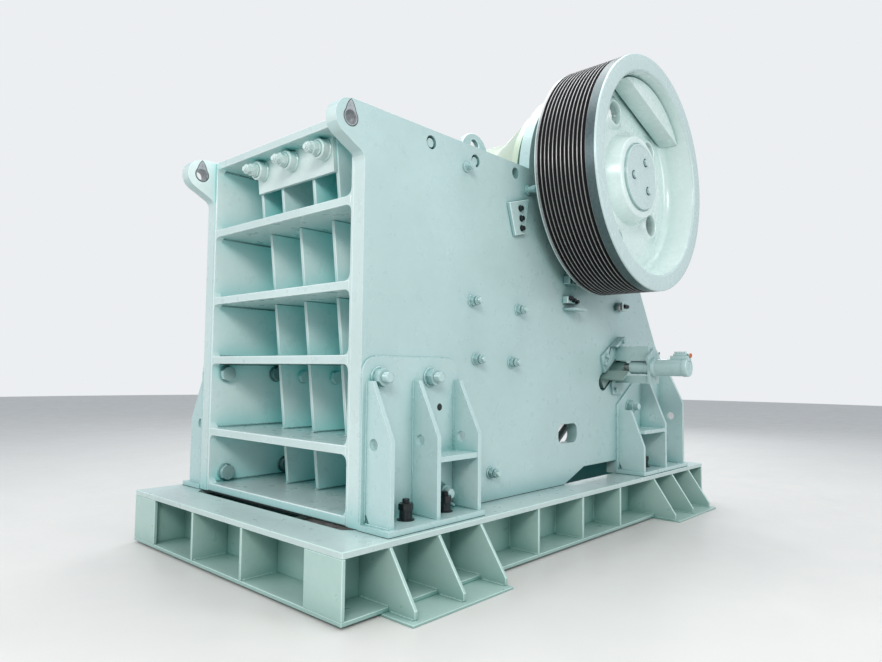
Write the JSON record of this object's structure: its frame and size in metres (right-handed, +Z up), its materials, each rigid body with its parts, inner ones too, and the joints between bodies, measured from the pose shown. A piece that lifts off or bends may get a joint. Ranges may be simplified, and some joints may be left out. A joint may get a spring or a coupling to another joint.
{
  "type": "jaw crusher",
  "caption": "Jaw crusher on a welded skid base: ribbed front box, swing jaw on an eccentric shaft, grooved drive sheave, flywheel and wedge adjusters with cylinders.",
  "frame": {"origin": "centre of the base footprint, on the floor", "axes": "+X across the machine to the drive sheave side, +Y from the fixed jaw at the front to the rear, +Z up"},
  "size_m": [3.394, 4.932, 4.03],
  "materials": {
    "paint": "thick gloss paint, pale green, over rolled plate and castings",
    "base_paint": "thick gloss paint, slightly greener than the frame",
    "pitman_paint": "gloss paint over a sand casting",
    "die_steel": "raw manganese steel casting",
    "machined_steel": "turned and ground steel, oiled",
    "black_steel": "black nuts and sleeves"
  },
  "bodies": {
    "frame": {"base_top_plate": "base_paint", "base_bottom_plate": "base_paint", "base_foot_plates": "base_paint", "base_side_webs": "base_paint", "base_end_webs": "base_paint", "base_corner_plates": "base_paint", "base_stiffeners": "base_paint", "base_outrigger_gussets": "base_paint", "front_wall": "paint", "front_shelves": "paint", "front_ribs": "paint", "front_cheek_flanges": "paint", "jaw_bolt_plate": "paint", "jaw_clamp_bolts": "paint", "right_side_plate": "paint", "left_side_plate": "paint", "inner_lifting_lugs": "paint", "rear_frame": "paint", "fixed_jaw_die": "die_steel", "upper_cheek_plates": "die_steel", "lower_cheek_plates": "die_steel", "right_bearing_housing": "paint", "left_bearing_housing": "paint", "toggle_plate": "machined_steel", "toggle_seat": "paint", "right_wedge": "machined_steel", "left_wedge": "machined_steel", "right_wedge_cylinder": "paint", "left_wedge_cylinder": "paint", "right_cylinder_bracket": "paint", "left_cylinder_bracket": "paint", "tension_rods": "machined_steel", "front_right_foot": "paint", "front_left_foot": "paint", "rear_right_foot": "paint", "rear_left_foot": "paint", "hold_down_bolts": "black_steel", "guard_brackets": "paint"},
    "rotor": {"eccentric_shaft": "machined_steel", "right_flywheel": "paint", "left_flywheel": "paint", "counterweights": "paint", "hub_covers": "paint"},
    "swing_jaw": {"pitman": "pitman_paint", "moving_jaw_die": "die_steel"}
  },
  "joints": [
    {"name": "shaft_turn", "type": "hinge", "parent": "frame", "child": "rotor", "pos_m": [0, 0.51, 3.043], "axis": [1, 0, 0], "continuous": true},
    {"name": "swing_jaw_on_eccentric", "type": "hinge", "parent": "rotor", "child": "swing_jaw", "pos_m": [0, 0.50382, 3.02398], "axis": [1, 0, 0], "continuous": true}
  ],
  "couplings": [
    {"joint": "swing_jaw_on_eccentric", "follows": "shaft_turn", "ratio": -1}
  ]
}
